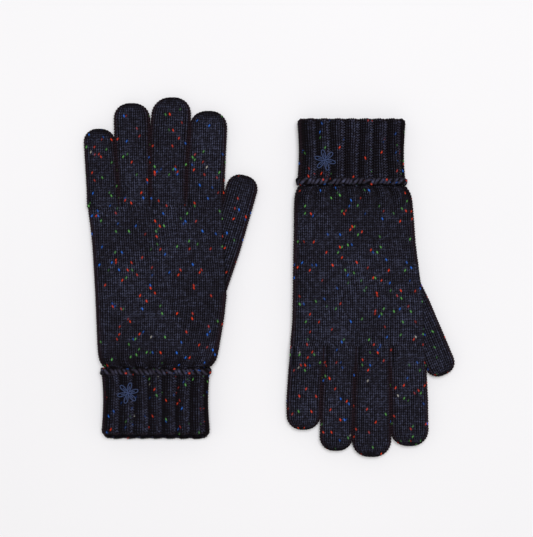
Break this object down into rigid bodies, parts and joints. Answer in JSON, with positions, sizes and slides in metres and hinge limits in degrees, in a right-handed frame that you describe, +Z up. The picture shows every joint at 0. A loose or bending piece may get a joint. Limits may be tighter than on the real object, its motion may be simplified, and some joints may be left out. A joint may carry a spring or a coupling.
{
  "type": "pair of knitted gloves",
  "caption": "Pair of knitted winter gloves with turned-up rib cuffs and a small stitched star, laid flat with the backs up; every finger, thumb and cuff is a separate moving piece.",
  "frame": {"origin": "middle of the pair's footprint, on the surface that the gloves lie on", "axes": "+X across the hands towards both thumbs, +Y towards the left glove's fingertips and the right glove's cuff, +Z up from the palms to the backs of the hands"},
  "size_m": [0.2808, 0.2688, 0.0154],
  "materials": {
    "plain_knit": "matte stocking-stitch knit, dark navy yarn with coloured flecks",
    "rib_knit": "matte two-by-two rib knit, dark navy yarn with coloured flecks",
    "cuff_edge_knit": "matte thick cast-off edge, dark navy yarn",
    "motif_thread": "low-sheen blue embroidery thread"
  },
  "bodies": {
    "left_glove": {"left_hand": "plain_knit", "left_inner_cuff": "rib_knit"},
    "left_cuff": {"left_turned_cuff": "rib_knit", "left_cuff_edge": "cuff_edge_knit", "left_cuff_motif": "motif_thread"},
    "left_little_base": {"left_little_base": "plain_knit"},
    "left_little_end": {"left_little_end": "plain_knit"},
    "left_ring_base": {"left_ring_base": "plain_knit"},
    "left_ring_end": {"left_ring_end": "plain_knit"},
    "left_middle_base": {"left_middle_base": "plain_knit"},
    "left_middle_end": {"left_middle_end": "plain_knit"},
    "left_index_base": {"left_index_base": "plain_knit"},
    "left_index_end": {"left_index_end": "plain_knit"},
    "left_thumb_base": {"left_thumb_base": "plain_knit"},
    "left_thumb_end": {"left_thumb_end": "plain_knit"},
    "right_glove": {"right_hand": "plain_knit", "right_inner_cuff": "rib_knit"},
    "right_cuff": {"right_turned_cuff": "rib_knit", "right_cuff_edge": "cuff_edge_knit", "right_cuff_motif": "motif_thread"},
    "right_little_base": {"right_little_base": "plain_knit"},
    "right_little_end": {"right_little_end": "plain_knit"},
    "right_ring_base": {"right_ring_base": "plain_knit"},
    "right_ring_end": {"right_ring_end": "plain_knit"},
    "right_middle_base": {"right_middle_base": "plain_knit"},
    "right_middle_end": {"right_middle_end": "plain_knit"},
    "right_index_base": {"right_index_base": "plain_knit"},
    "right_index_end": {"right_index_end": "plain_knit"},
    "right_thumb_base": {"right_thumb_base": "plain_knit"},
    "right_thumb_end": {"right_thumb_end": "plain_knit"}
  },
  "joints": [
    {"name": "left_cuff_turn_down", "type": "slide", "parent": "left_glove", "child": "left_cuff", "axis": [0, -1, 0], "range_m": [0, 0.0465]},
    {"name": "left_little_knuckle", "type": "hinge", "parent": "left_glove", "child": "left_little_base", "pos_m": [-0.12593, 0.05792, 0.005], "axis": [-1, 0, 0], "range_deg": [-45, 90]},
    {"name": "left_little_bend", "type": "hinge", "parent": "left_little_base", "child": "left_little_end", "pos_m": [-0.12738, 0.08388, 0.005], "axis": [-0.9984, -0.0558, 0], "range_deg": [-20, 90]},
    {"name": "left_ring_knuckle", "type": "hinge", "parent": "left_glove", "child": "left_ring_base", "pos_m": [-0.10143, 0.05792, 0.005], "axis": [-1, 0, 0], "range_deg": [-45, 90]},
    {"name": "left_ring_bend", "type": "hinge", "parent": "left_ring_base", "child": "left_ring_end", "pos_m": [-0.10243, 0.09191, 0.005], "axis": [-0.9996, -0.0297, 0], "range_deg": [-20, 90]},
    {"name": "left_middle_knuckle", "type": "hinge", "parent": "left_glove", "child": "left_middle_base", "pos_m": [-0.07593, 0.05792, 0.005], "axis": [-1, 0, 0], "range_deg": [-45, 90]},
    {"name": "left_middle_bend", "type": "hinge", "parent": "left_middle_base", "child": "left_middle_end", "pos_m": [-0.07442, 0.09389, 0.005], "axis": [-0.9991, 0.0419, 0], "range_deg": [-20, 90]},
    {"name": "left_index_knuckle", "type": "hinge", "parent": "left_glove", "child": "left_index_base", "pos_m": [-0.04883, 0.05792, 0.005], "axis": [-1, 0, 0], "range_deg": [-45, 90]},
    {"name": "left_index_bend", "type": "hinge", "parent": "left_index_base", "child": "left_index_end", "pos_m": [-0.04715, 0.08988, 0.005], "axis": [-0.9986, 0.0523, 0], "range_deg": [-20, 90]},
    {"name": "left_thumb_spread", "type": "hinge", "parent": "left_glove", "child": "left_thumb_base", "pos_m": [-0.0395, 0.00293, 0.0045], "axis": [0, 0, -1], "range_deg": [0, 14]},
    {"name": "left_thumb_bend", "type": "hinge", "parent": "left_thumb_base", "child": "left_thumb_end", "pos_m": [-0.02874, 0.04145, 0.0045], "axis": [-0.9632, 0.2689, 0], "range_deg": [0, 90]},
    {"name": "right_glove_slide", "type": "slide", "parent": "left_glove", "child": "right_glove", "axis": [1, 0, 0], "range_m": [0, 0.06]},
    {"name": "right_cuff_turn_down", "type": "slide", "parent": "right_glove", "child": "right_cuff", "axis": [0, 1, 0], "range_m": [0, 0.0465]},
    {"name": "right_little_knuckle", "type": "hinge", "parent": "right_glove", "child": "right_little_base", "pos_m": [0.02447, -0.05788, 0.005], "axis": [1, 0, 0], "range_deg": [-45, 90]},
    {"name": "right_little_bend", "type": "hinge", "parent": "right_little_base", "child": "right_little_end", "pos_m": [0.0232, -0.08384, 0.005], "axis": [0.9988, -0.0489, 0], "range_deg": [-20, 90]},
    {"name": "right_ring_knuckle", "type": "hinge", "parent": "right_glove", "child": "right_ring_base", "pos_m": [0.04897, -0.05788, 0.005], "axis": [1, 0, 0], "range_deg": [-45, 90]},
    {"name": "right_ring_bend", "type": "hinge", "parent": "right_ring_base", "child": "right_ring_end", "pos_m": [0.04743, -0.09184, 0.005], "axis": [0.999, -0.0454, 0], "range_deg": [-20, 90]},
    {"name": "right_middle_knuckle", "type": "hinge", "parent": "right_glove", "child": "right_middle_base", "pos_m": [0.07447, -0.05788, 0.005], "axis": [1, 0, 0], "range_deg": [-45, 90]},
    {"name": "right_middle_bend", "type": "hinge", "parent": "right_middle_base", "child": "right_middle_end", "pos_m": [0.07397, -0.09387, 0.005], "axis": [0.9999, -0.014, 0], "range_deg": [-20, 90]},
    {"name": "right_index_knuckle", "type": "hinge", "parent": "right_glove", "child": "right_index_base", "pos_m": [0.10157, -0.05788, 0.005], "axis": [1, 0, 0], "range_deg": [-45, 90]},
    {"name": "right_index_bend", "type": "hinge", "parent": "right_index_base", "child": "right_index_end", "pos_m": [0.10236, -0.08987, 0.005], "axis": [0.9997, 0.0244, 0], "range_deg": [-20, 90]},
    {"name": "right_thumb_spread", "type": "hinge", "parent": "right_glove", "child": "right_thumb_base", "pos_m": [0.10434, -0.00287, 0.0045], "axis": [0, 0, 1], "range_deg": [0, 30]},
    {"name": "right_thumb_bend", "type": "hinge", "parent": "right_thumb_base", "child": "right_thumb_end", "pos_m": [0.11965, -0.03983, 0.0045], "axis": [0.9239, 0.3827, 0], "range_deg": [0, 90]}
  ]
}
